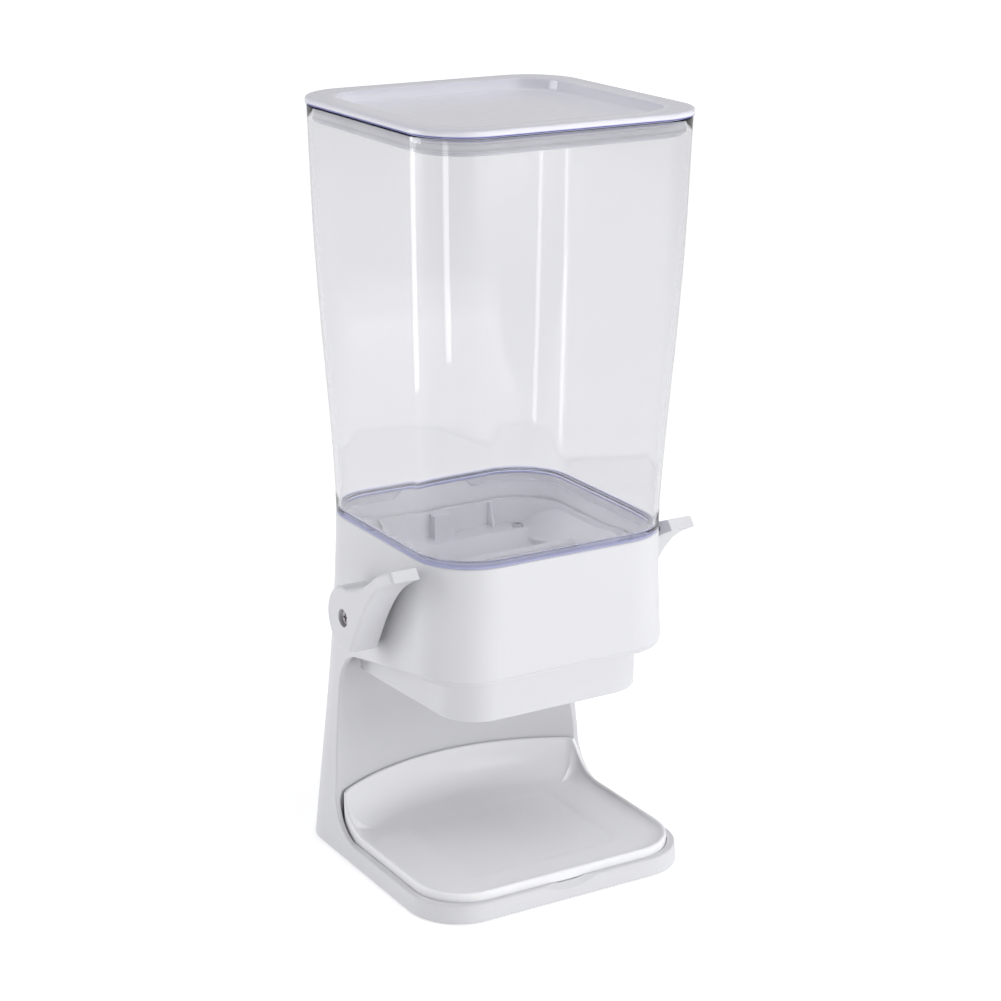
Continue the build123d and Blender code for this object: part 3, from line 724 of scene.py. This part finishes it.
# ---- studio ------------------------------------------------------------------------------------
FLOOR_REACH = 14.0           # the floor goes this far each way, past every view
FLOOR_GLOW = (0.42, 0.70)    # how much whiter the floor is drawn near the dispenser and far from it
GLOW_NEAR, GLOW_FAR = 0.6, 5.0           # metres from the dispenser at which those hold
GLOW_CAST = 0.50             # how much of that the floor casts on the dispenser
ROOM_TINT = (0.985, 0.985, 1.0)
ROOM_BRIGHT, ROOM_DARK = 0.60, 0.04
DARK_SIDE = -42.0            # azimuth of the room's darker side, in degrees
DARK_RISE = 0.05             # its direction points up a little
DARK_START = 0.1             # the room darkens from here, by the cosine to that side


def direction(azimuth, elevation):
    """Unit vector towards an azimuth from the front and an elevation, in degrees."""
    a, e = radians(azimuth), radians(elevation)
    return Vector((sin(a) * cos(e), -cos(a) * cos(e), sin(e)))


def studio_floor():
    """A pale floor, wide enough to reach past every view."""
    mesh = bpy.data.meshes.new("studio_floor")
    corners = ((-1, -1), (1, -1), (1, 1), (-1, 1))
    mesh.from_pydata([(FLOOR_REACH * x, FLOOR_REACH * y, 0) for x, y in corners], [], [(0, 1, 2, 3)])
    floor = bpy.data.objects.new("studio_floor", mesh)
    bpy.context.scene.collection.objects.link(floor)
    pale = Material("floor_white", (0.93, 0.93, 0.935), 0.6)
    pale.shader.inputs["Emission Color"].default_value = (1, 1, 1, 1)
    away = pale.add("ShaderNodeVectorMath", operation="LENGTH")
    pale.link(pale.place, away.inputs[0])
    glow = pale.ranged(away.outputs["Value"], *FLOOR_GLOW, start=GLOW_NEAR, end=GLOW_FAR)
    camera_ray = pale.add("ShaderNodeLightPath").outputs["Is Camera Ray"]
    seen = pale.ranged(camera_ray, GLOW_CAST, 1, start=0, end=1)
    pale.link(pale.maths("MULTIPLY", glow, seen), pale.shader.inputs["Emission Strength"])
    floor.data.materials.append(pale.material)


def area_light(name, azimuth, elevation, distance, width, power,
               height=None, aim_z=0.22, lights_up=True, mirrored_in=True):
    """A soft box aimed at the dispenser's axis, which may only light it or only be mirrored in it."""
    aim, towards = Vector((0, 0, aim_z)), direction(azimuth, elevation)
    data = bpy.data.lights.new(name, "AREA")
    data.shape, data.size, data.size_y = "RECTANGLE", width, height or width
    data.energy = power
    light = bpy.data.objects.new(name, data)
    light.location = aim + towards * distance
    light.rotation_mode = "QUATERNION"
    light.rotation_quaternion = towards.to_track_quat("Z", "Y")
    light.visible_camera = False
    light.visible_diffuse, light.visible_glossy = lights_up, mirrored_in
    light.visible_transmission = not lights_up
    bpy.context.scene.collection.objects.link(light)


def surroundings():
    """A white room that is a little darker towards one side, as behind a photographer."""
    world = bpy.data.worlds.new("studio")
    bpy.context.scene.world = world
    world.use_nodes = True
    room = Nodes(world.node_tree)
    white = room.tree.nodes["Background"]
    white.inputs["Color"].default_value = (1, 1, 1, 1)
    facing = room.add("ShaderNodeVectorMath", operation="DOT_PRODUCT")
    dark_x, dark_y, _ = direction(DARK_SIDE, 0)
    facing.inputs[1].default_value = (dark_x, dark_y, DARK_RISE)
    room.link(room.add("ShaderNodeTexCoord").outputs["Generated"], facing.inputs[0])
    strength = room.ranged(facing.outputs["Value"], ROOM_BRIGHT, ROOM_DARK,
                           start=DARK_START, end=1.0, interpolation_type="SMOOTHSTEP")
    shaded = room.add("ShaderNodeBackground")
    shaded.inputs["Color"].default_value = (*ROOM_TINT, 1)
    room.link(strength, shaded.inputs["Strength"])
    path = room.add("ShaderNodeLightPath").outputs
    seen = room.maths("MAXIMUM", path["Is Camera Ray"], path["Is Transmission Ray"])
    both = room.mix_shaders(seen, shaded.outputs["Background"], white.outputs["Background"])
    room.link(both, room.tree.nodes["World Output"].inputs["Surface"])


def lamps():
    """Soft boxes that light the dispenser, and two strips that are only mirrored in it."""
    area_light("softbox_right", 38, 12, distance=2.2, width=1.3, power=8, mirrored_in=False)
    area_light("softbox_low", 12, 1, distance=2.0, width=1.4, power=5.5,
               height=0.36, aim_z=0.19, mirrored_in=False)
    area_light("softbox_middle", 8, 22, distance=2.0, width=1.0, power=6.5, height=0.5, aim_z=0.10)
    area_light("softbox_left", -122, 12, distance=2.4, width=1.2, power=18)
    area_light("softbox_top", 18, 62, distance=2.2, width=1.5, power=10)
    for corner, azimuth in (("rear", -59), ("front", -129)):
        area_light("strip_" + corner, azimuth, 0, distance=0.85, width=0.14, power=0.55,
                   height=0.48, aim_z=0.245, lights_up=False)


surroundings()
studio_floor()
lamps()


# ---- camera ------------------------------------------------------------------------------------
CAMERA_AZIMUTH, CAMERA_ELEVATION, CAMERA_ROLL = -30.98, 17.67, 0.27
CAMERA_TARGET, CAMERA_DISTANCE = Vector((0.0031, 0.0, 0.2114)), 1.3839
CAMERA_LENS, CAMERA_SENSOR = 88.2, 36.0


def camera():
    back = direction(CAMERA_AZIMUTH, CAMERA_ELEVATION)
    data = bpy.data.cameras.new("camera")
    data.lens, data.sensor_width = CAMERA_LENS, CAMERA_SENSOR
    data.clip_start, data.clip_end = 0.05, 100
    made = bpy.data.objects.new("camera", data)
    roll = Matrix.Rotation(radians(CAMERA_ROLL), 3, "Z")
    turn = back.to_track_quat("Z", "Y").to_matrix() @ roll
    place = Matrix.Translation(CAMERA_TARGET + back * CAMERA_DISTANCE)
    made.matrix_world = place @ turn.to_4x4()
    bpy.context.scene.collection.objects.link(made)
    bpy.context.scene.camera = made


camera()
bpy.context.scene.view_settings.view_transform = "Standard"
